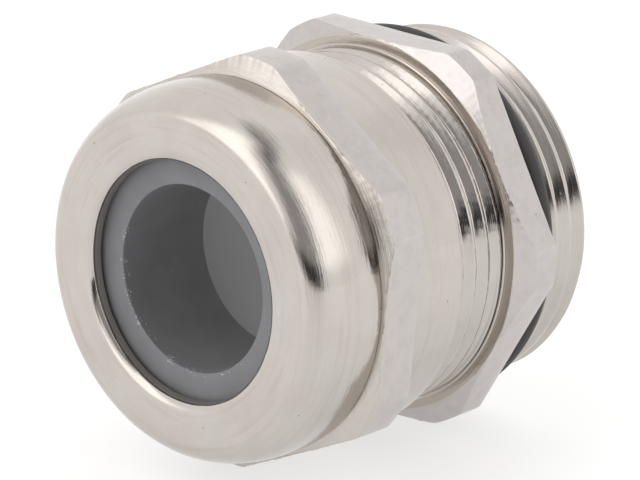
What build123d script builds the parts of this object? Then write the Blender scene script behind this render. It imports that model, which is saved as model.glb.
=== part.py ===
"""Brass cable gland, PG21: five pieces on one axis.

The gland axis is Y. The body's sealing face against the panel is y = 0, the connection thread
points to +Y, the dome nut closes the other end towards -Y, and +Z is up. Units are millimetres.
The dome nut is drawn screwed on by about three threads, so it still has to be tightened.
"""
from build123d import *
import os

os.makedirs("parts", exist_ok=True)

# hexagons, 30 mm across flats on the body and on the nut
HEX_FLATS = 30.0
BODY_HEX_TURN = 0.0
NUT_HEX_TURN = 25.6

# body: hexagon with a turned front edge
BODY_HEX_FRONT = -3.2
BODY_CHAMFER_END = -2.3
BODY_CHAMFER_R = 14.95
BODY_CORNER_R = 16.5

# body: connection thread Pg21, 28.3 mm outside, 16 threads per inch, 80 degree flanks
PG_MAJOR_R = 14.15
PG_MINOR_R = 13.39
PG_PITCH = 1.5875
PG_CREST = 0.15
PG_ROOT = 0.16
PG_END = 6.5
PG_END_CHAMFER = 0.25
PG_HELIX_START = 1.77
PG_HELIX_TURNS = 3.6

# body: neck that carries the O-ring between the hexagon and the connection thread
NECK_R = 13.05
NECK_END = 2.0

# body: barrel with the nut thread, 28.1 mm outside, 1.5 mm pitch
NUT_PITCH = 1.5
BARREL_MAJOR_R = 14.05
BARREL_MINOR_R = 13.13
BARREL_CREST = 0.19
BARREL_ROOT = 0.25
BARREL_FRONT = -13.5
BARREL_FRONT_CHAMFER = 0.6
BARREL_HELIX_START = -15.19
BARREL_HELIX_TURNS = 7.3
UNDERCUT_FRONT = -3.75
COLLAR_FRONT = -3.45
COLLAR_R = 14.28

# body: cage seat and cable bore
CAGE_CAVITY_R = 11.5
CAGE_SEAT = -3.2
CABLE_BORE_R = 10.4
BORE_CHAMFER = 0.4

# dome nut, outside
NUT_FACE = -24.3
NUT_OPENING_R = 9.3
NUT_RIM = 0.3
DOME_R = 14.7
DOME_ARC_R = 2.05
DOME_ARC_LENGTH = 4.6
DOME_END = -17.85
DOME_STEP_R = 14.9
NUT_CHAMFER_END = -17.45
NUT_CORNER_R = 16.38
NUT_HEX_REAR = -14.15
SKIRT_R = 14.8
SKIRT_REAR = -8.86
SKIRT_EDGE = 0.15

# dome nut, inside
LIP_INNER = -23.05
LIP_SHOULDER_R = 10.2
CONE_R = 12.6
CONE_END = -19.2
RELIEF_FRONT = -18.3
RELIEF_REAR = -14.1
RELIEF_R = 14.3
NUT_MINOR_R = 13.2
NUT_MAJOR_R = 14.12
NUT_GROOVE_ROOT = 0.23
NUT_GROOVE_MOUTH = 1.29
NUT_HELIX_START = -15.94
NUT_HELIX_TURNS = 5.6
NUT_LEAD_IN = 0.7

# clamping cage: plain ring at the rear, twelve fingers towards the nut
CAGE_REAR = -7.5
CAGE_FRONT = -21.4
CAGE_R = 11.2
CAGE_TIP_R = 10.5
CAGE_TIP_START = -19.8
CAGE_BORE_R = 9.7
CAGE_EDGE = 0.5
FINGER_COUNT = 12
FINGER_SLOT = 1.1
FINGER_ROOT = -11.8

# sealing insert: flange in front of the fingers, sleeve inside them, narrow throat
SEAL_FRONT = -22.75
SEAL_FLANGE_FRONT_R = 9.95
SEAL_FLANGE_REAR_R = 10.4
SEAL_FLANGE_REAR = -21.5
SEAL_SLEEVE_R = 9.62
SEAL_REAR = -7.0
SEAL_THROAT_R = 7.26
SEAL_THROAT_END = -14.05
SEAL_WIDE_R = 8.5
SEAL_WIDE_START = -13.55
SEAL_EDGE = 0.3

# O-ring 26 x 2 on the neck
O_RING_WIRE_R = 0.98
O_RING_MEAN_R = 14.05
O_RING_Y = 1.0

# how far a thread-cutting profile stands clear of the surface it cuts
CUT_CLEAR = 0.05


def groove_turns(pitch, turns, radius, start, depth, mouth, root):
    """Right-hand groove along +Y as a list of solids, one for each turn.

    A positive depth cuts inwards, a negative one outwards.
    """
    side = 1 if depth > 0 else -1
    slope = (mouth - root) / 2 / abs(depth)
    clear_half = mouth / 2 + CUT_CLEAR * slope
    pieces = []
    done = 0
    while done < turns:
        step = min(1, turns - done)
        begin = (0, start + done * pitch, 0)
        path = Helix(pitch, pitch * step, radius, center=begin, direction=(0, 1, 0))
        with BuildPart() as groove:
            with BuildSketch(Plane(origin=path @ 0, x_dir=(0, 0, 1), z_dir=path % 0)):
                with BuildLine():
                    Polyline(
                        (side * CUT_CLEAR, -clear_half),
                        (side * CUT_CLEAR, clear_half),
                        (-depth, root / 2),
                        (-depth, -root / 2),
                        close=True,
                    )
                make_face()
            sweep(path=path, is_frenet=True)
        pieces.append(groove.part)
        done += step
    return pieces


# gland body ------------------------------------------------------------------------------------

barrel_groove = groove_turns(
    NUT_PITCH,
    BARREL_HELIX_TURNS,
    BARREL_MAJOR_R,
    BARREL_HELIX_START,
    BARREL_MAJOR_R - BARREL_MINOR_R,
    NUT_PITCH - BARREL_CREST,
    BARREL_ROOT,
)
connection_groove = groove_turns(
    PG_PITCH,
    PG_HELIX_TURNS,
    PG_MAJOR_R,
    PG_HELIX_START,
    PG_MAJOR_R - PG_MINOR_R,
    PG_PITCH - PG_CREST,
    PG_ROOT,
)

with BuildPart() as gland_body:
    # hexagon with turned front corners
    with BuildSketch(Plane.XZ):
        RegularPolygon(HEX_FLATS / 2, 6, major_radius=False, rotation=BODY_HEX_TURN)
    extrude(amount=-BODY_HEX_FRONT)
    with BuildSketch(Plane.XY):
        with BuildLine():
            Polyline(
                (0, BODY_HEX_FRONT),
                (BODY_CHAMFER_R, BODY_HEX_FRONT),
                (BODY_CORNER_R, BODY_CHAMFER_END),
                (BODY_CORNER_R, 0),
                (0, 0),
                close=True,
            )
        make_face()
    revolve(axis=Axis.Y, mode=Mode.INTERSECT)
    # barrel, undercut and collar in front, neck and connection thread blank behind
    with BuildSketch(Plane.XY):
        with BuildLine():
            Polyline(
                (0, BARREL_FRONT),
                (BARREL_MAJOR_R - BARREL_FRONT_CHAMFER, BARREL_FRONT),
                (BARREL_MAJOR_R, BARREL_FRONT + BARREL_FRONT_CHAMFER),
                (BARREL_MAJOR_R, UNDERCUT_FRONT),
                (BARREL_MINOR_R, UNDERCUT_FRONT),
                (BARREL_MINOR_R, COLLAR_FRONT),
                (COLLAR_R, COLLAR_FRONT),
                (COLLAR_R, BODY_CHAMFER_END),
                (NECK_R, BODY_CHAMFER_END),
                (NECK_R, NECK_END),
                (PG_MAJOR_R, NECK_END),
                (PG_MAJOR_R, PG_END - PG_END_CHAMFER),
                (PG_MAJOR_R - PG_END_CHAMFER, PG_END),
                (0, PG_END),
                close=True,
            )
        make_face()
    revolve(axis=Axis.Y)
    # cage cavity from the front, step that stops the cage, cable bore to the rear
    with BuildSketch(Plane.XY):
        with BuildLine():
            Polyline(
                (0, BARREL_FRONT),
                (CAGE_CAVITY_R + BORE_CHAMFER, BARREL_FRONT),
                (CAGE_CAVITY_R, BARREL_FRONT + BORE_CHAMFER),
                (CAGE_CAVITY_R, CAGE_SEAT),
                (CABLE_BORE_R, CAGE_SEAT),
                (CABLE_BORE_R, PG_END - BORE_CHAMFER),
                (CABLE_BORE_R + BORE_CHAMFER, PG_END),
                (0, PG_END),
                close=True,
            )
        make_face()
    revolve(axis=Axis.Y, mode=Mode.SUBTRACT)
    # nut thread on the barrel and connection thread behind the neck
    for groove_turn in barrel_groove + connection_groove:
        add(groove_turn, mode=Mode.SUBTRACT)

gland_body.part.label = "gland_body"
export_step(gland_body.part, "parts/gland_body.step")

# dome nut --------------------------------------------------------------------------------------

nut_groove = groove_turns(
    NUT_PITCH,
    NUT_HELIX_TURNS,
    NUT_MINOR_R,
    NUT_HELIX_START,
    NUT_MINOR_R - NUT_MAJOR_R,
    NUT_GROOVE_MOUTH,
    NUT_GROOVE_ROOT,
)
dome_arc_y = NUT_FACE + DOME_ARC_LENGTH

with BuildPart() as dome_nut:
    # hexagon with turned front corners
    with BuildSketch(Plane.XZ.offset(-NUT_HEX_REAR)):
        RegularPolygon(HEX_FLATS / 2, 6, major_radius=False, rotation=NUT_HEX_TURN)
    extrude(amount=NUT_HEX_REAR - DOME_END)
    with BuildSketch(Plane.XY):
        with BuildLine():
            Polyline(
                (0, DOME_END),
                (DOME_STEP_R, DOME_END),
                (NUT_CORNER_R, NUT_CHAMFER_END),
                (NUT_CORNER_R, NUT_HEX_REAR),
                (0, NUT_HEX_REAR),
                close=True,
            )
        make_face()
    revolve(axis=Axis.Y, mode=Mode.INTERSECT)
    # dome in front of the hexagon and plain skirt behind it
    with BuildSketch(Plane.XY):
        with BuildLine():
            Line((0, NUT_FACE), (DOME_R - DOME_ARC_R, NUT_FACE))
            EllipticalCenterArc(
                (DOME_R - DOME_ARC_R, dome_arc_y),
                DOME_ARC_R,
                DOME_ARC_LENGTH,
                start_angle=-90,
                arc_size=90,
            )
            Polyline(
                (DOME_R, dome_arc_y),
                (DOME_R, DOME_END),
                (DOME_R, NUT_HEX_REAR),
                (SKIRT_R, NUT_HEX_REAR),
                (SKIRT_R, SKIRT_REAR - SKIRT_EDGE),
                (SKIRT_R - SKIRT_EDGE, SKIRT_REAR),
                (0, SKIRT_REAR),
                (0, NUT_FACE),
            )
        make_face()
    revolve(axis=Axis.Y)
    # opening with a rounded rim, clamping cone, relief and thread bore
    with BuildSketch(Plane.XY):
        with BuildLine():
            Line((0, NUT_FACE), (NUT_OPENING_R + NUT_RIM, NUT_FACE))
            RadiusArc(
                (NUT_OPENING_R + NUT_RIM, NUT_FACE), (NUT_OPENING_R, NUT_FACE + NUT_RIM), NUT_RIM
            )
            Polyline(
                (NUT_OPENING_R, NUT_FACE + NUT_RIM),
                (NUT_OPENING_R, LIP_INNER),
                (LIP_SHOULDER_R, LIP_INNER),
                (CONE_R, CONE_END),
                (CONE_R, RELIEF_FRONT),
                (RELIEF_R, RELIEF_FRONT),
                (RELIEF_R, RELIEF_REAR),
                (NUT_MINOR_R, RELIEF_REAR),
                (NUT_MINOR_R, SKIRT_REAR - NUT_LEAD_IN),
                (NUT_MINOR_R + NUT_LEAD_IN, SKIRT_REAR),
                (0, SKIRT_REAR),
                (0, NUT_FACE),
            )
        make_face()
    revolve(axis=Axis.Y, mode=Mode.SUBTRACT)
    # internal thread
    for groove_turn in nut_groove:
        add(groove_turn, mode=Mode.SUBTRACT)

dome_nut.part.label = "dome_nut"
export_step(dome_nut.part, "parts/dome_nut.step")

# clamping cage ---------------------------------------------------------------------------------

with BuildPart() as clamping_cage:
    with BuildSketch(Plane.XY):
        with BuildLine():
            Polyline(
                (CAGE_BORE_R, CAGE_FRONT),
                (CAGE_TIP_R, CAGE_FRONT),
                (CAGE_R, CAGE_TIP_START),
                (CAGE_R, CAGE_REAR - CAGE_EDGE),
                (CAGE_R - CAGE_EDGE, CAGE_REAR),
                (CAGE_BORE_R, CAGE_REAR),
                close=True,
            )
        make_face()
    revolve(axis=Axis.Y)
    # slots that part the fingers
    with BuildSketch(Plane.XZ.offset(-FINGER_ROOT)):
        with PolarLocations((CAGE_BORE_R + CAGE_R) / 2, FINGER_COUNT):
            Rectangle(CAGE_R - CAGE_BORE_R + 1, FINGER_SLOT)
    extrude(amount=FINGER_ROOT - CAGE_FRONT, mode=Mode.SUBTRACT)

clamping_cage.part.label = "clamping_cage"
export_step(clamping_cage.part, "parts/clamping_cage.step")

# sealing insert --------------------------------------------------------------------------------

with BuildPart() as sealing_insert:
    with BuildSketch(Plane.XY):
        with BuildLine():
            Polyline(
                (SEAL_THROAT_R, SEAL_FRONT),
                (SEAL_FLANGE_FRONT_R, SEAL_FRONT),
                (SEAL_FLANGE_REAR_R, SEAL_FLANGE_REAR),
                (SEAL_SLEEVE_R, SEAL_FLANGE_REAR),
                (SEAL_SLEEVE_R, SEAL_REAR - SEAL_EDGE),
                (SEAL_SLEEVE_R - SEAL_EDGE, SEAL_REAR),
                (SEAL_WIDE_R, SEAL_REAR),
                (SEAL_WIDE_R, SEAL_WIDE_START),
                (SEAL_THROAT_R, SEAL_THROAT_END),
                close=True,
            )
        make_face()
    revolve(axis=Axis.Y)

sealing_insert.part.label = "sealing_insert"
export_step(sealing_insert.part, "parts/sealing_insert.step")

# O-ring ----------------------------------------------------------------------------------------

with BuildPart() as o_ring:
    with BuildSketch(Plane.XY):
        with Locations((O_RING_MEAN_R, O_RING_Y)):
            Circle(O_RING_WIRE_R)
    revolve(axis=Axis.Y)

o_ring.part.label = "o_ring"
export_step(o_ring.part, "parts/o_ring.step")
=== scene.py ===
"""Nickel-plated brass cable gland, looks only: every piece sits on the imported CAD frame.

Lengths below are millimetres on the gland axis Y (nut towards -Y, connection thread towards +Y);
meshes are written in metres. Each turned piece is one closed skin: a half section that may change
with the angle, carried once round the axis. Hexagons and threads come from the section itself.
"""

import math

import bmesh
import bpy
from mathutils import Matrix, Vector


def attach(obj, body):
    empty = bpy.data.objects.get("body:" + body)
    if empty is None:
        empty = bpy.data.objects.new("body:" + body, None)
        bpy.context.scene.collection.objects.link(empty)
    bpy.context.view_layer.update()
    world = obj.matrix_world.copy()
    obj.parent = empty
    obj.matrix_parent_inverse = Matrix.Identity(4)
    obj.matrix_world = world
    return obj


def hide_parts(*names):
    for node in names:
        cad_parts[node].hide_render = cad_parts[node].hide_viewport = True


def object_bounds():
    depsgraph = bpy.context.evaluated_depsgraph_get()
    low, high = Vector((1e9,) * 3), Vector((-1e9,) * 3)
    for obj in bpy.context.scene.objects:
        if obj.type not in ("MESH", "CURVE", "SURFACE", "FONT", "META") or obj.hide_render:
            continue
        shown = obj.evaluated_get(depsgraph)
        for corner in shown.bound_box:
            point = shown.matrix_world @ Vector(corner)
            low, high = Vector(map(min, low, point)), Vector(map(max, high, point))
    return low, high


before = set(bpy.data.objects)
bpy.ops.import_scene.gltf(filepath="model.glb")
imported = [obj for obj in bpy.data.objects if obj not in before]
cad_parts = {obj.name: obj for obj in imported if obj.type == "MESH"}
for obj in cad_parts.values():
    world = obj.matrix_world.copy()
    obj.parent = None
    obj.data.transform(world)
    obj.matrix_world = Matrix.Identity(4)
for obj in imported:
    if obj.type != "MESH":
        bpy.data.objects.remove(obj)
CAD_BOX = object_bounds()

MM = 0.001

# hexagons
FLAT = 15.0
BODY_TURN = 0.0
NUT_TURN = 25.6

# body; thread depths here and in the nut are drawn shallower than in the CAD
BODY_CORNER_R = 16.5
BODY_RING_Y = -3.2
BODY_RING_R = 14.95
BODY_CONE_END = -2.3
COLLAR_R = 14.26
COLLAR_Y = -3.45
UNDERCUT_R = 13.9
NECK_R = 13.05
PG_PITCH = 1.5875
PG_START = 2.0
PG_END = 6.5
PG_R = 14.14
PG_DEPTH = 0.6
PG_PHASE = 2.564
BARREL_FRONT = -13.5
BARREL_END = -3.52
BARREL_R = 14.04
BARREL_DEPTH = 0.52
BARREL_PHASE = -14.44
NUT_PITCH = 1.5
NOSE_R = 13.4
CAGE_CAVITY_R = 11.5
CAGE_SEAT = -3.2
BORE_R = 10.42

# nut; its thread crest runs in the barrel's groove, half a pitch from the barrel's crest
NUT_FACE = -24.3
OPENING_R = 9.3
RIM = 0.7
DOME_R = 14.7
DOME_ARC_R = 2.05
DOME_ARC_Y = 4.6
DOME_END = -17.85
STEP_R = 14.9
CONE_END = -17.45
NUT_CORNER_R = 16.37
HEX_REAR = -14.15
SKIRT_R = 14.79
SKIRT_REAR = -8.86
NUT_THREAD_PHASE = BARREL_PHASE + NUT_PITCH / 2
NUT_THREAD_R = 13.6
NUT_THREAD_DEPTH = 0.5
NUT_THREAD_FRONT = -14.1
MOUTH_R = 13.9
RELIEF_R = 14.3
RELIEF_FRONT = -18.3
CONE_WIDE_R = 12.6
CONE_WIDE_Y = -19.2
CONE_NARROW_R = 10.2
LIP_REAR = -23.05

# sealing insert
SEAL_FRONT = -22.75
THROAT_R = 7.26
THROAT_END = -14.05
SEAL_WIDE_R = 8.5
SEAL_REAR = -7.0
FLANGE_R = 10.38
FLANGE_REAR = -21.5
SLEEVE_R = 9.62

# O-ring
RING_MEAN_R = 14.05
RING_WIRE_R = 0.97
RING_Y = 1.0

COLUMNS = 720


# ---------------------------------------------------------------------------- sections and skins

def wobble(theta, seed, size):
    """Small repeatable unevenness round the axis, for burrs and hand-finished edges."""
    t = math.radians(theta)
    waves = math.sin(7 * t + seed) + 0.8 * math.sin(23 * t + 2.1 * seed)
    waves += 0.7 * math.sin(61 * t + 3.7 * seed) + 0.5 * math.sin(149 * t + 5.3 * seed)
    return size * waves / 3


def arc(cx, cy, rx, ry, start, end, steps):
    """Points of an ellipse arc in a section, angles in degrees."""
    out = []
    for i in range(steps + 1):
        a = math.radians(start + (end - start) * i / steps)
        out.append((cx + rx * math.cos(a), cy + ry * math.sin(a)))
    return out


def hex_reach(theta, turn):
    """Distance from the axis to the hexagon's flat at an angle in degrees; corners at turn + 60k."""
    off = (theta - turn) % 60 - 30
    return FLAT / math.cos(math.radians(off))


def hex_limit(theta, turn, corner_r):
    """Outline of a hexagon bar turned down to corner_r, its corner edges broken a little."""
    reach = hex_reach(theta, turn)
    blend = 0.05
    over = (reach - corner_r) / blend
    if over > 4:
        return corner_r
    if over < -4:
        return reach
    return reach - blend * math.log1p(math.exp(over))


def column_angles(turn, corner_r):
    """Even columns round the axis plus close ones where flats run into turned corners."""
    angles = [360 * i / COLUMNS for i in range(COLUMNS)]
    half = math.degrees(math.acos(FLAT / corner_r))
    for k in range(6):
        for side in (-1, 1):
            edge = (turn + 30 + 60 * k + side * half) % 360
            for near in (-0.35, -0.2, -0.1, 0.0, 0.1, 0.2, 0.35):
                angles.append((edge + near) % 360)
    angles = sorted(set(round(a, 4) for a in angles))
    kept = [angles[0]]
    for a in angles[1:]:
        if a - kept[-1] > 0.04:
            kept.append(a)
    return kept


def thread_radius(y, theta, phase, pitch, major, depth, crest, root):
    """Radius of a right-hand thread; its crest passes phase at theta = 90 degrees."""
    u = (y - phase + pitch * (theta - 90) / 360) / pitch
    u = abs(u - round(u))
    t = (u - crest / 2) / (0.5 - root / 2 - crest / 2)
    return major - depth * min(1.0, max(0.0, t))


def thread_rows(theta, y0, y1, phase, pitch, major, depth, crest, root):
    """Section points of a thread from y0 to y1; rows follow the helix and are clamped at the ends."""
    flank = 0.5 - root / 2
    half = (0.0, crest / 2 - 0.006, crest / 2 + 0.004, crest / 2 + 0.02, 0.25, flank - 0.01, flank + 0.01)
    marks = [-0.5] + [-m for m in half[:0:-1]] + list(half)
    shift = phase - pitch * (theta - 90) / 360
    first = math.floor((y0 - phase) / pitch) - 2
    last = math.ceil((y1 - phase) / pitch) + 2
    rows = []
    for k in range(first, last + 1):
        for m in marks:
            y = min(y1, max(y0, shift + (k + m) * pitch))
            rows.append((thread_radius(y, theta, phase, pitch, major, depth, crest, root), y))
    return rows


def skin(name, angles, section):
    """Closed skin: section(theta) gives the same number of (radius, y) points at every angle."""
    verts = []
    angles = list(angles) + [angles[0] + 360]
    for a in angles:
        c, s = math.cos(math.radians(a)), math.sin(math.radians(a))
        column = section(a)
        for r, y in column:
            verts.append((r * c * MM, y * MM, r * s * MM))
    rows = len(column)
    faces = []
    for i in range(len(angles) - 1):
        j = i + 1
        for k in range(rows):
            n = (k + 1) % rows
            faces.append((i * rows + k, j * rows + k, j * rows + n, i * rows + n))
    mesh = bpy.data.meshes.new(name)
    mesh.from_pydata(verts, [], faces)
    obj = bpy.data.objects.new(name, mesh)
    bpy.context.scene.collection.objects.link(obj)
    clean(obj)
    return obj


def clean(obj, merge=0.000004, sharp=38):
    """Merges clamped rows, turns normals outwards and shades smooth below the sharp angle."""
    bm = bmesh.new()
    bm.from_mesh(obj.data)
    bmesh.ops.remove_doubles(bm, verts=bm.verts, dist=merge)
    bmesh.ops.dissolve_degenerate(bm, edges=bm.edges, dist=merge / 2)
    bmesh.ops.recalc_face_normals(bm, faces=bm.faces)
    limit = math.radians(sharp)
    for f in bm.faces:
        f.smooth = True
    for e in bm.edges:
        if len(e.link_faces) == 2 and e.calc_face_angle(0) > limit:
            e.smooth = False
    bm.to_mesh(obj.data)
    bm.free()


# ---------------------------------------------------------------------------- the three turned pieces

def body_section(theta):
    lim = hex_limit(theta, BODY_TURN, BODY_CORNER_R)
    slope = (BODY_CORNER_R - BODY_RING_R) / (BODY_CONE_END - BODY_RING_Y)
    meet = BODY_RING_Y + max(0.02, (lim - BODY_RING_R) / slope) + wobble(theta, 1.3, 0.03)
    meet = max(meet, BODY_RING_Y + 0.025)
    edge = 0.09 + wobble(theta, 4.1, 0.05)
    pts = [(CAGE_CAVITY_R + 0.4, BARREL_FRONT), (NOSE_R, BARREL_FRONT)]
    for r, y in thread_rows(theta, BARREL_FRONT, BARREL_END, BARREL_PHASE, NUT_PITCH, BARREL_R,
                            BARREL_DEPTH, 0.15, 0.14):
        nose = NOSE_R + 0.1 + max(0.0, y - BARREL_FRONT)
        pts.append((min(r + wobble(theta + 40 * y, 0.7, 0.012), nose), y))
    pts += [(UNDERCUT_R, BARREL_END + 0.01), (UNDERCUT_R, COLLAR_Y)]
    pts += [(COLLAR_R - 0.08, COLLAR_Y), (COLLAR_R, COLLAR_Y + 0.07), (COLLAR_R, BODY_RING_Y)]
    pts += [(BODY_RING_R - 0.06, BODY_RING_Y), (BODY_RING_R, BODY_RING_Y + 0.02)]
    pts += [(BODY_RING_R + (lim - BODY_RING_R) * t, BODY_RING_Y + (meet - BODY_RING_Y) * t)
            for t in (0.1, 0.3, 0.5, 0.7, 0.9)]
    burr = max(0.0, wobble(3 * theta, 7.7, 0.09)) if lim < BODY_CORNER_R - 0.1 else 0.0
    pts += [(lim - 0.6 * edge, meet - 0.35 * edge), (lim + burr, meet), (lim, meet + 0.5 * edge)]
    pts += [(lim, meet + edge + (-0.12 - meet - edge) * t) for t in (0, 0.25, 0.5, 0.75, 1)]
    pts += [(lim - 0.03, -0.03), (lim - 0.1, 0.0), (14.2, 0.0), (NECK_R, 0.0), (NECK_R, PG_START)]
    for r, y in thread_rows(theta, PG_START, PG_END, PG_PHASE, PG_PITCH, PG_R, PG_DEPTH, 0.13, 0.12):
        pts.append((min(r, PG_R - 0.25 + max(0.0, PG_END - y)), y))
    pts += [(13.3, PG_END), (BORE_R + 0.43, PG_END), (BORE_R, PG_END - 0.4)]
    pts += [(BORE_R, CAGE_SEAT + 0.1), (BORE_R + 0.08, CAGE_SEAT), (CAGE_CAVITY_R, CAGE_SEAT)]
    pts += [(CAGE_CAVITY_R, BARREL_FRONT + 0.4)]
    return pts


def nut_section(theta):
    lim = hex_limit(theta, NUT_TURN, NUT_CORNER_R)
    slope = (NUT_CORNER_R - STEP_R) / (CONE_END - DOME_END)
    meet = DOME_END + max(0.01, (lim - STEP_R) / slope) + wobble(theta, 2.6, 0.025)
    meet = max(meet, DOME_END + 0.015)
    edge = 0.09 + wobble(theta, 5.2, 0.05)
    pts = arc(OPENING_R + RIM, NUT_FACE + RIM, RIM, RIM, 180, 270, 8)
    face_end = DOME_R - DOME_ARC_R
    pts += [(OPENING_R + RIM + (face_end - OPENING_R - RIM) * t, NUT_FACE) for t in (0.25, 0.5, 0.75)]
    pts += arc(face_end, NUT_FACE + DOME_ARC_Y, DOME_ARC_R, DOME_ARC_Y, 270, 360, 48)
    pts += [(DOME_R, DOME_END - 0.16), (DOME_R - 0.07, DOME_END - 0.11), (DOME_R - 0.07, DOME_END - 0.03)]
    low = min(STEP_R, lim)
    pts += [(low - 0.05, DOME_END), (low, DOME_END + 0.01)]
    pts += [(low + (lim - low) * t, DOME_END + (meet - DOME_END) * t) for t in (0.2, 0.5, 0.8)]
    burr = max(0.0, wobble(3 * theta, 9.1, 0.09)) if lim < NUT_CORNER_R - 0.1 else 0.0
    pts += [(lim - 0.6 * edge, meet - 0.2 * edge), (lim + burr, meet), (lim, meet + 0.5 * edge)]
    pts += [(lim, meet + edge + (HEX_REAR - 0.1 - meet - edge) * t) for t in (0, 0.25, 0.5, 0.75, 1)]
    pts += [(lim - 0.02, HEX_REAR - 0.02), (lim - 0.08, HEX_REAR)]
    pts += [(SKIRT_R - 0.06, HEX_REAR), (SKIRT_R - 0.06, HEX_REAR + 0.1), (SKIRT_R, HEX_REAR + 0.16)]
    pts += [(SKIRT_R, y) for y in (-13.0, -12.0, -11.0, -10.0, SKIRT_REAR - 0.16)]
    pts += arc(SKIRT_R - 0.14, SKIRT_REAR - 0.14, 0.14, 0.14, 0, 90, 5)
    pts += [(MOUTH_R + 0.05, SKIRT_REAR), (MOUTH_R, SKIRT_REAR - 0.01)]
    thread_rear = SKIRT_REAR - 0.02
    for r, y in thread_rows(theta, NUT_THREAD_FRONT, thread_rear, NUT_THREAD_PHASE, NUT_PITCH,
                            NUT_THREAD_R, -NUT_THREAD_DEPTH, 0.14, 0.14)[::-1]:
        pts.append((max(r, MOUTH_R - max(0.0, thread_rear - y)), y))
    pts += [(RELIEF_R, NUT_THREAD_FRONT - 0.02), (RELIEF_R, RELIEF_FRONT)]
    pts += [(CONE_WIDE_R, RELIEF_FRONT), (CONE_WIDE_R, CONE_WIDE_Y), (CONE_NARROW_R, LIP_REAR)]
    pts += [(OPENING_R + 0.05, LIP_REAR), (OPENING_R, LIP_REAR - 0.05)]
    return pts


def seal_section(theta):
    pts = arc(THROAT_R + 0.1, SEAL_FRONT + 0.1, 0.1, 0.1, 180, 270, 5)
    pts += [(8.0, SEAL_FRONT), (8.8, SEAL_FRONT), (9.6, SEAL_FRONT)]
    pts += arc(9.75, SEAL_FRONT + 0.2, 0.2, 0.2, 270, 340, 4)
    pts += [(FLANGE_R, FLANGE_REAR - 0.05), (FLANGE_R - 0.08, FLANGE_REAR), (SLEEVE_R, FLANGE_REAR)]
    pts += [(SLEEVE_R, -15.0), (SLEEVE_R, SEAL_REAR - 0.3), (SLEEVE_R - 0.3, SEAL_REAR)]
    pts += [(SEAL_WIDE_R, SEAL_REAR), (SEAL_WIDE_R, THROAT_END + 0.5)]
    pts += [(THROAT_R, THROAT_END), (THROAT_R, -16.0), (THROAT_R, -18.0), (THROAT_R, -20.0)]
    return pts


def ring_section(theta):
    """Round wire with a faint mould line on its outside."""
    pts = arc(RING_MEAN_R, RING_Y, RING_WIRE_R, RING_WIRE_R, 0, 345, 23)
    return [(r + (0.03 if abs(y - RING_Y) < 0.12 and r > 14.5 else 0.0), y) for r, y in pts]


# ---------------------------------------------------------------------------- materials

class Graph:
    """Thin helper to add and join shader nodes in the node tree of a material or a world."""

    def __init__(self, owner):
        owner.use_nodes = True
        self.nodes = owner.node_tree.nodes
        self.links = owner.node_tree.links

    def node(self, kind, inputs=None, **settings):
        n = self.nodes.new(kind)
        for key, value in settings.items():
            setattr(n, key, value)
        for key, value in (inputs or {}).items():
            self.put(n.inputs[key], value)
        return n

    def put(self, socket, value):
        if isinstance(value, bpy.types.NodeSocket):
            self.links.new(value, socket)
        else:
            socket.default_value = value

    def math(self, operation, a, b=None, clamp=False):
        n = self.node("ShaderNodeMath", operation=operation, use_clamp=clamp)
        self.put(n.inputs[0], a)
        if b is not None:
            self.put(n.inputs[1], b)
        return n.outputs[0]

    def mix(self, factor, a, b, blend="MIX"):
        n = self.node("ShaderNodeMix", data_type="RGBA", blend_type=blend)
        self.put(n.inputs[0], factor)
        self.put(n.inputs[6], a)
        self.put(n.inputs[7], b)
        return n.outputs[2]

    def noise(self, vector, scale, detail=3.0, rough=0.55):
        n = self.node("ShaderNodeTexNoise", {"Vector": vector, "Scale": scale, "Detail": detail,
                                             "Roughness": rough})
        return n.outputs["Fac"]


def new_material(name):
    """An empty material, its graph and its main shader."""
    mat = bpy.data.materials.new(name)
    g = Graph(mat)
    return mat, g, g.nodes["Principled BSDF"]


def lathe_coords(g):
    """Object coordinates in millimetres, as a vector, x, y, z, the radius and the turning angle."""
    co = g.node("ShaderNodeTexCoord").outputs["Object"]
    sep = g.node("ShaderNodeSeparateXYZ", {"Vector": co})
    x, y, z = (g.math("MULTIPLY", sep.outputs[i], 1000.0) for i in range(3))
    r = g.math("SQRT", g.math("ADD", g.math("MULTIPLY", x, x), g.math("MULTIPLY", z, z)))
    angle = g.math("ARCTAN2", z, x)
    mm = g.node("ShaderNodeVectorMath", {0: co, 1: (1000.0, 1000.0, 1000.0)},
                operation="MULTIPLY").outputs[0]
    return mm, x, y, z, r, angle


def band(g, value, low, high, soft):
    """1 where value lies between low and high, fading over soft."""
    up = g.math("DIVIDE", g.math("SUBTRACT", value, low - soft / 2), soft, True)
    down = g.math("DIVIDE", g.math("SUBTRACT", high + soft / 2, value), soft, True)
    return g.math("MULTIPLY", up, down)


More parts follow.
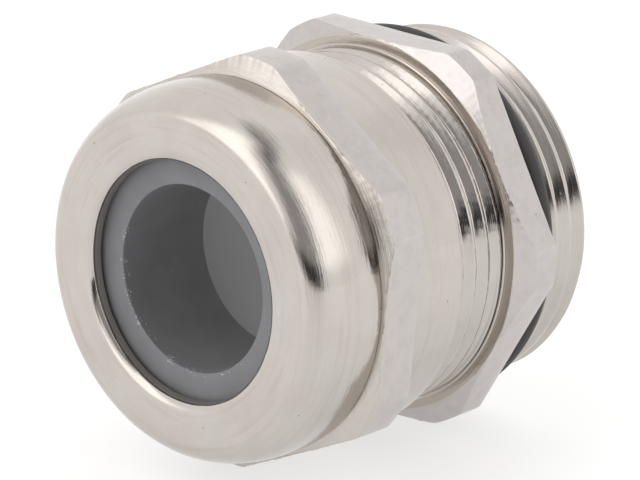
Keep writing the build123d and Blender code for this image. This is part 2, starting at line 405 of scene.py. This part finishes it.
def nickel(name, base, stain, hex_zone, hex_tint, dark_rings=()):
    """Nickel plate over turned brass: lathe lines, faint cloudy stains, pits, soft worn gloss.

    hex_zone is where along the axis the milled flats lie; dull lists rings given a darker, browner tone
    as (low radius, high radius, low y, high y, strength).
    """
    mat, g, bsdf = new_material(name)
    mm, _, y, _, r, angle = lathe_coords(g)
    # lathe lines: noise that runs round the axis and changes fast across it
    across = g.math("ADD", y, g.math("MULTIPLY", r, 1.7))
    lines_at = g.node("ShaderNodeCombineXYZ", {
        "X": g.math("MULTIPLY", g.math("COSINE", angle), 0.9),
        "Y": g.math("MULTIPLY", across, 4.0),
        "Z": g.math("MULTIPLY", g.math("SINE", angle), 0.9)}).outputs[0]
    broken_at = g.node("ShaderNodeCombineXYZ", {
        "X": g.math("MULTIPLY", g.math("COSINE", angle), 7.0),
        "Y": g.math("MULTIPLY", across, 4.0),
        "Z": g.math("MULTIPLY", g.math("SINE", angle), 7.0)}).outputs[0]
    lines = g.noise(lines_at, 1.1, 4.0, 0.7)
    broken = g.noise(broken_at, 1.1, 3.0, 0.65)
    scratch_at = g.node("ShaderNodeCombineXYZ", {
        "X": g.math("MULTIPLY", g.math("COSINE", angle), 3.0),
        "Y": g.math("MULTIPLY", across, 9.0),
        "Z": g.math("MULTIPLY", g.math("SINE", angle), 3.0)}).outputs[0]
    scratch = g.noise(scratch_at, 1.0, 2.0, 0.6)
    mottle = g.noise(mm, 0.9, 4.0, 0.7)
    coarse = g.noise(lines_at, 0.22, 2.0, 0.5)
    smear = g.noise(broken_at, 0.22, 3.0, 0.6)
    cloud = g.noise(mm, 0.16, 4.0, 0.6)
    patch = g.noise(mm, 0.07, 3.0, 0.5)
    grain = g.noise(mm, 5.0, 3.0, 0.65)
    pits = g.node("ShaderNodeTexVoronoi", {"Vector": mm, "Scale": 0.5}).outputs["Distance"]
    pit_mask = g.math("LESS_THAN", pits, 0.035)
    # the hexagon's stretch of the axis, outside the turned step in front of it
    zone = g.math("MULTIPLY", band(g, y, hex_zone[0], hex_zone[1], 0.1),
                  g.math("GREATER_THAN", r, 14.93))
    tone = g.mix(g.math("MULTIPLY", g.math("SUBTRACT", cloud, 0.42, True), 2.2, True), base, stain)
    tone = g.mix(g.math("MULTIPLY", g.math("SUBTRACT", smear, 0.5, True), 2.0, True), tone,
                 (stain[0] * 0.97, stain[1] * 0.94, stain[2] * 0.9, 1))
    tone = g.mix(g.math("MULTIPLY", g.math("SUBTRACT", lines, 0.55, True), 1.4, True), tone,
                 (stain[0] * 0.8, stain[1] * 0.78, stain[2] * 0.76, 1))
    tone = g.mix(g.math("MULTIPLY", zone, g.math("ADD", 0.55, patch)), tone, hex_tint)
    worn = g.math("MULTIPLY", g.math("SUBTRACT", mottle, 0.45, True), 2.2, True)
    tone = g.mix(g.math("MULTIPLY", zone, worn), tone, tuple(c * 0.86 for c in hex_tint[:3]) + (1,))
    tone = g.mix(g.math("MULTIPLY", pit_mask, 0.45), tone, (0.12, 0.1, 0.09, 1))
    # the listed rings are darkened towards brown
    for r0, r1, y0, y1, strength in dark_rings:
        ring = g.math("MULTIPLY", band(g, r, r0, r1, 0.06), band(g, y, y0, y1, 0.06))
        tone = g.mix(g.math("MULTIPLY", ring, strength), tone, (0.36, 0.3, 0.235, 1))
    g.put(bsdf.inputs["Base Color"], tone)
    bsdf.inputs["Metallic"].default_value = 1.0
    rough = g.math("ADD", 0.06, g.math("MULTIPLY", g.math("SUBTRACT", lines, 0.42, True), 0.3))
    rough = g.math("ADD", rough, g.math("MULTIPLY", cloud, 0.07))
    rough = g.math("ADD", rough, g.math("MULTIPLY", zone, 0.08))
    rough = g.math("ADD", rough, g.math("MULTIPLY", pit_mask, 0.3))
    g.put(bsdf.inputs["Roughness"], rough)
    turned = g.math("SUBTRACT", 1.0, g.math("MULTIPLY", zone, 0.75))
    height = g.math("ADD", g.math("MULTIPLY", lines, 0.008), g.math("MULTIPLY", broken, 0.01))
    height = g.math("ADD", height, g.math("MULTIPLY", scratch, 0.007))
    height = g.math("ADD", height, g.math("MULTIPLY", coarse, 0.004))
    height = g.math("MULTIPLY", height, turned)
    height = g.math("ADD", height, g.math("MULTIPLY", grain, 0.0012))
    height = g.math("SUBTRACT", height, g.math("MULTIPLY", pit_mask, 0.01))
    bump = g.node("ShaderNodeBump", {"Height": height, "Strength": 1.0, "Distance": MM})
    g.put(bsdf.inputs["Normal"], bump.outputs[0])
    return mat


def rubber(name, dark, light, roughness, dust, backlit_inner=None, rim=None):
    """Moulded rubber: fine grain, dust caught in places.

    inner is (start along the axis, colour) of the deeper part, given a paler colour as a painted glow of
    light coming in through the open rear end; rim is (radius, y) of a cut edge that holds light crumbs.
    """
    mat, g, bsdf = new_material(name)
    mm, x, y, z, r, _ = lathe_coords(g)
    cloud = g.noise(mm, 0.3, 3.0, 0.6)
    grain = g.noise(mm, 9.0, 3.0, 0.7)
    specks = g.node("ShaderNodeTexVoronoi", {"Vector": mm, "Scale": 1.6}).outputs["Distance"]
    speck_mask = g.math("MULTIPLY", g.math("LESS_THAN", specks, 0.07),
                        g.math("GREATER_THAN", g.noise(mm, 0.5, 1.0), 0.6))
    tone = g.mix(g.math("MULTIPLY", g.math("SUBTRACT", cloud, 0.3, True), 1.6, True), dark, light)
    # painted light: past the throat the rubber is made paler, as if lit through the open rear end
    if backlit_inner:
        tone = g.mix(g.math("GREATER_THAN", y, backlit_inner[0]), tone, backlit_inner[1])
    if rim:
        near = g.math("MULTIPLY", g.math("LESS_THAN", r, rim[0]), g.math("LESS_THAN", y, rim[1]))
        crumbs = g.node("ShaderNodeTexVoronoi", {"Vector": mm, "Scale": 4.5}).outputs["Distance"]
        crumb_mask = g.math("MULTIPLY", g.math("LESS_THAN", crumbs, 0.3),
                            g.math("GREATER_THAN", g.noise(mm, 1.1, 2.0), 0.5))
        low_side = g.math("LESS_THAN", z, g.math("MULTIPLY", x, -0.35))
        crumb_mask = g.math("MULTIPLY", g.math("MULTIPLY", crumb_mask, near), low_side)
        speck_mask = g.math("MAXIMUM", speck_mask, crumb_mask)
    tone = g.mix(g.math("MULTIPLY", speck_mask, dust), tone, (0.6, 0.6, 0.6, 1))
    g.put(bsdf.inputs["Base Color"], tone)
    g.put(bsdf.inputs["Roughness"], g.math("ADD", roughness, g.math("MULTIPLY", grain, 0.2)))
    height = g.math("ADD", g.math("MULTIPLY", grain, 0.006), g.math("MULTIPLY", speck_mask, 0.02))
    bump = g.node("ShaderNodeBump", {"Height": height, "Strength": 1.0, "Distance": MM})
    g.put(bsdf.inputs["Normal"], bump.outputs[0])
    return mat


def studio_white(name, colour, glow):
    """Matt white sweep, lit from behind a little as in a light tent."""
    mat, g, bsdf = new_material(name)
    co = g.node("ShaderNodeTexCoord").outputs["Object"]
    cloud = g.noise(co, 14.0, 3.0, 0.5)
    soft = tuple(c * 0.985 for c in colour[:3]) + (1,)
    g.put(bsdf.inputs["Base Color"], g.mix(cloud, colour, soft))
    bsdf.inputs["Roughness"].default_value = 0.6
    bsdf.inputs["Emission Color"].default_value = (1, 1, 1, 1)
    bsdf.inputs["Emission Strength"].default_value = glow
    return mat


# ---------------------------------------------------------------------------- build

# body rings darkened towards brown: the collar step face and the undercut groove
body_mat = nickel("body_nickel", (0.555, 0.52, 0.49, 1), (0.475, 0.435, 0.405, 1), (-3.1, 0.1),
                  (0.54, 0.505, 0.495, 1),
                  ((14.3, 14.9, -3.3, -3.1, 0.45), (13.0, 13.95, -3.8, -3.4, 0.4)))
nut_mat = nickel("nut_nickel", (0.56, 0.525, 0.49, 1), (0.485, 0.445, 0.41, 1),
                 (CONE_END, HEX_REAR), (0.55, 0.515, 0.5, 1))
# the paler colour past the seal's throat is painted light coming in from the rear end
seal_mat = rubber("seal_rubber", (0.17, 0.172, 0.18, 1), (0.22, 0.223, 0.235, 1), 0.5, 0.7,
                  (THROAT_END + 0.02, (0.5, 0.5, 0.515, 1)), (THROAT_R + 0.3, SEAL_FRONT + 0.6))
ring_mat = rubber("o_ring_rubber", (0.02, 0.017, 0.018, 1), (0.035, 0.03, 0.03, 1), 0.4, 0.25)
cage_mat = rubber("cage_polyamide", (0.03, 0.03, 0.032, 1), (0.05, 0.05, 0.052, 1), 0.45, 0.1)

body_skin = skin("body_shell", column_angles(BODY_TURN, BODY_CORNER_R), body_section)
nut_skin = skin("nut_shell", column_angles(NUT_TURN, NUT_CORNER_R), nut_section)
even = [float(i) for i in range(360)]
seal_skin = skin("seal_sleeve", even, seal_section)
ring_skin = skin("o_ring_skin", even, ring_section)

for obj, mat, body, node, slot in (
    (body_skin, body_mat, "body", "gland_body", "body_metal"),
    (nut_skin, nut_mat, "nut", "dome_nut", "nut_metal"),
    (seal_skin, seal_mat, "insert", "sealing_insert", "seal_rubber"),
    (ring_skin, ring_mat, "body", "o_ring", "o_ring_rubber"),
):
    obj.data.materials.append(mat)
    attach(obj, body)
    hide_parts(node)

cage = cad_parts["clamping_cage"]
cage.data.materials.clear()
cage.data.materials.append(cage_mat)

# ---------------------------------------------------------------------------- studio

FLOOR_SIZE = 6.0
FLOOR_GAP = 0.00002
bpy.ops.mesh.primitive_plane_add(size=FLOOR_SIZE, location=(0, 0, CAD_BOX[0][2] - FLOOR_GAP))
floor = bpy.context.object
floor.name = "floor"
floor.data.materials.append(studio_white("floor_white", (0.4, 0.4, 0.4, 1), 0.62))

# directions in degrees: azimuth from -Y towards +X, height above the floor,
# half widths of both, and how softly the edge fades
WRAP = 1.1
LEFT_BOX = (-20, 40, 22, 38, 8)
LEFT_GAIN = 0.82
RIGHT_BOX = (104, 36, 18, 26, 8)
RIGHT_GAIN = 0.6
GAPS = (
    ((54, 38, 28, 44, 7), 0.68),
    ((140, 82, 80, 10, 6), 0.7),
    ((-160, 82, 30, 10, 6), 0.7),
    ((40, 4, 42, 7, 6), 0.75),
    ((170, 48, 18, 16, 14), 0.08),
)


def studio_world():
    """Soft white room: a pale wrap, two large softboxes, and dark gaps beside and above them."""
    world = bpy.data.worlds.new("studio")
    bpy.context.scene.world = world
    g = Graph(world)
    sep = g.node("ShaderNodeSeparateXYZ",
                 {"Vector": g.node("ShaderNodeTexCoord").outputs["Generated"]})
    x, y, z = sep.outputs
    azimuth = g.math("DEGREES", g.math("ARCTAN2", x, g.math("MULTIPLY", y, -1.0)))
    height = g.math("DEGREES", g.math("ARCSINE", z))

    def panel(az, el, half_az, half_el, soft):
        """1 inside a window of directions, fading to 0 over soft degrees."""
        side = g.math("ABSOLUTE", g.math("SUBTRACT", azimuth, az))
        rise = g.math("ABSOLUTE", g.math("SUBTRACT", height, el))
        a = g.math("DIVIDE", g.math("SUBTRACT", half_az + soft / 2, side), soft, True)
        b = g.math("DIVIDE", g.math("SUBTRACT", half_el + soft / 2, rise), soft, True)
        return g.math("MULTIPLY", a, b)

    level = g.math("ADD", WRAP, g.math("MULTIPLY", panel(*LEFT_BOX), LEFT_GAIN))
    level = g.math("ADD", level, g.math("MULTIPLY", panel(*RIGHT_BOX), RIGHT_GAIN))
    for gap, depth in GAPS:
        level = g.math("SUBTRACT", level, g.math("MULTIPLY", panel(*gap), depth))
    level = g.math("MAXIMUM", level, 0.05)
    g.put(g.nodes["Background"].inputs["Color"], (1, 0.99, 0.98, 1))
    g.put(g.nodes["Background"].inputs["Strength"], level)


studio_world()
bpy.context.scene.view_settings.view_transform = "Standard"

# ---------------------------------------------------------------------------- camera

AZIMUTH = math.radians(42.253)
ELEVATION = math.radians(18.47)
ROLL = math.radians(1.525)
DISTANCE = 0.3428
SIDE = -0.005834
RISE = -0.001993

back = Vector((math.sin(AZIMUTH) * math.cos(ELEVATION), -math.cos(AZIMUTH) * math.cos(ELEVATION),
               math.sin(ELEVATION)))
flat_right = Vector((math.cos(AZIMUTH), math.sin(AZIMUTH), 0))
flat_up = back.cross(flat_right)
right = flat_right * math.cos(ROLL) + flat_up * math.sin(ROLL)
up = flat_up * math.cos(ROLL) - flat_right * math.sin(ROLL)
cam_data = bpy.data.cameras.new("camera")
cam_data.sensor_width = 36
cam_data.lens = 245.9
cam_data.clip_end = 20
camera = bpy.data.objects.new("camera", cam_data)
turn = Matrix((right, up, back)).transposed().to_4x4()
camera.matrix_world = Matrix.Translation(back * DISTANCE + right * SIDE + up * RISE) @ turn
bpy.context.scene.collection.objects.link(camera)
bpy.context.scene.camera = camera
